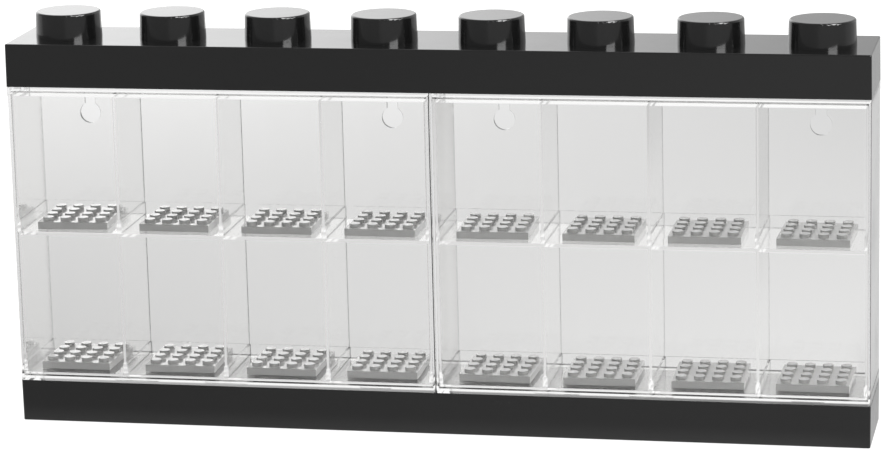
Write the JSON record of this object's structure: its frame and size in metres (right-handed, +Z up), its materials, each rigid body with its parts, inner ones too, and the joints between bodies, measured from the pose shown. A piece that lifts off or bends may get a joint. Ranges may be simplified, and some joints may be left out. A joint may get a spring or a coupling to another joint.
{
  "type": "figure display case",
  "caption": "Brick-shaped display case: black base and studded lid, clear trays with compartments, covers that pull off forwards, and a small studded plate in each compartment.",
  "frame": {"origin": "middle of the base's underside, which the case stands on", "axes": "+X along the width to the right seen from the front, +Y towards the back, +Z up"},
  "size_m": [0.382, 0.047, 0.184],
  "materials": {
    "black_plastic": "polished injection-moulded black plastic",
    "clear_plastic": "clear polished plastic, with bright edges",
    "grey_plastic": "satin mid-grey moulded plastic"
  },
  "bodies": {
    "case": {"base": "black_plastic", "lid": "black_plastic", "tray_left": "clear_plastic", "tray_right": "clear_plastic"},
    "cover_left": {"cover_left": "clear_plastic"},
    "cover_right": {"cover_right": "clear_plastic"},
    "plate_upper_1": {"plate_upper_1": "grey_plastic"},
    "plate_upper_2": {"plate_upper_2": "grey_plastic"},
    "plate_upper_3": {"plate_upper_3": "grey_plastic"},
    "plate_upper_4": {"plate_upper_4": "grey_plastic"},
    "plate_upper_5": {"plate_upper_5": "grey_plastic"},
    "plate_upper_6": {"plate_upper_6": "grey_plastic"},
    "plate_upper_7": {"plate_upper_7": "grey_plastic"},
    "plate_upper_8": {"plate_upper_8": "grey_plastic"},
    "plate_lower_1": {"plate_lower_1": "grey_plastic"},
    "plate_lower_2": {"plate_lower_2": "grey_plastic"},
    "plate_lower_3": {"plate_lower_3": "grey_plastic"},
    "plate_lower_4": {"plate_lower_4": "grey_plastic"},
    "plate_lower_5": {"plate_lower_5": "grey_plastic"},
    "plate_lower_6": {"plate_lower_6": "grey_plastic"},
    "plate_lower_7": {"plate_lower_7": "grey_plastic"},
    "plate_lower_8": {"plate_lower_8": "grey_plastic"}
  },
  "joints": [
    {"name": "cover_left_slide", "type": "slide", "parent": "case", "child": "cover_left", "axis": [0, -1, 0], "range_m": [0, 0.07]},
    {"name": "cover_right_slide", "type": "slide", "parent": "case", "child": "cover_right", "axis": [0, -1, 0], "range_m": [0, 0.07]},
    {"name": "plate_upper_1_lift", "type": "slide", "parent": "case", "child": "plate_upper_1", "axis": [0, 0, 1], "range_m": [0, 0.025]},
    {"name": "plate_upper_2_lift", "type": "slide", "parent": "case", "child": "plate_upper_2", "axis": [0, 0, 1], "range_m": [0, 0.025]},
    {"name": "plate_upper_3_lift", "type": "slide", "parent": "case", "child": "plate_upper_3", "axis": [0, 0, 1], "range_m": [0, 0.025]},
    {"name": "plate_upper_4_lift", "type": "slide", "parent": "case", "child": "plate_upper_4", "axis": [0, 0, 1], "range_m": [0, 0.025]},
    {"name": "plate_upper_5_lift", "type": "slide", "parent": "case", "child": "plate_upper_5", "axis": [0, 0, 1], "range_m": [0, 0.025]},
    {"name": "plate_upper_6_lift", "type": "slide", "parent": "case", "child": "plate_upper_6", "axis": [0, 0, 1], "range_m": [0, 0.025]},
    {"name": "plate_upper_7_lift", "type": "slide", "parent": "case", "child": "plate_upper_7", "axis": [0, 0, 1], "range_m": [0, 0.025]},
    {"name": "plate_upper_8_lift", "type": "slide", "parent": "case", "child": "plate_upper_8", "axis": [0, 0, 1], "range_m": [0, 0.025]},
    {"name": "plate_lower_1_lift", "type": "slide", "parent": "case", "child": "plate_lower_1", "axis": [0, 0, 1], "range_m": [0, 0.025]},
    {"name": "plate_lower_2_lift", "type": "slide", "parent": "case", "child": "plate_lower_2", "axis": [0, 0, 1], "range_m": [0, 0.025]},
    {"name": "plate_lower_3_lift", "type": "slide", "parent": "case", "child": "plate_lower_3", "axis": [0, 0, 1], "range_m": [0, 0.025]},
    {"name": "plate_lower_4_lift", "type": "slide", "parent": "case", "child": "plate_lower_4", "axis": [0, 0, 1], "range_m": [0, 0.025]},
    {"name": "plate_lower_5_lift", "type": "slide", "parent": "case", "child": "plate_lower_5", "axis": [0, 0, 1], "range_m": [0, 0.025]},
    {"name": "plate_lower_6_lift", "type": "slide", "parent": "case", "child": "plate_lower_6", "axis": [0, 0, 1], "range_m": [0, 0.025]},
    {"name": "plate_lower_7_lift", "type": "slide", "parent": "case", "child": "plate_lower_7", "axis": [0, 0, 1], "range_m": [0, 0.025]},
    {"name": "plate_lower_8_lift", "type": "slide", "parent": "case", "child": "plate_lower_8", "axis": [0, 0, 1], "range_m": [0, 0.025]}
  ]
}
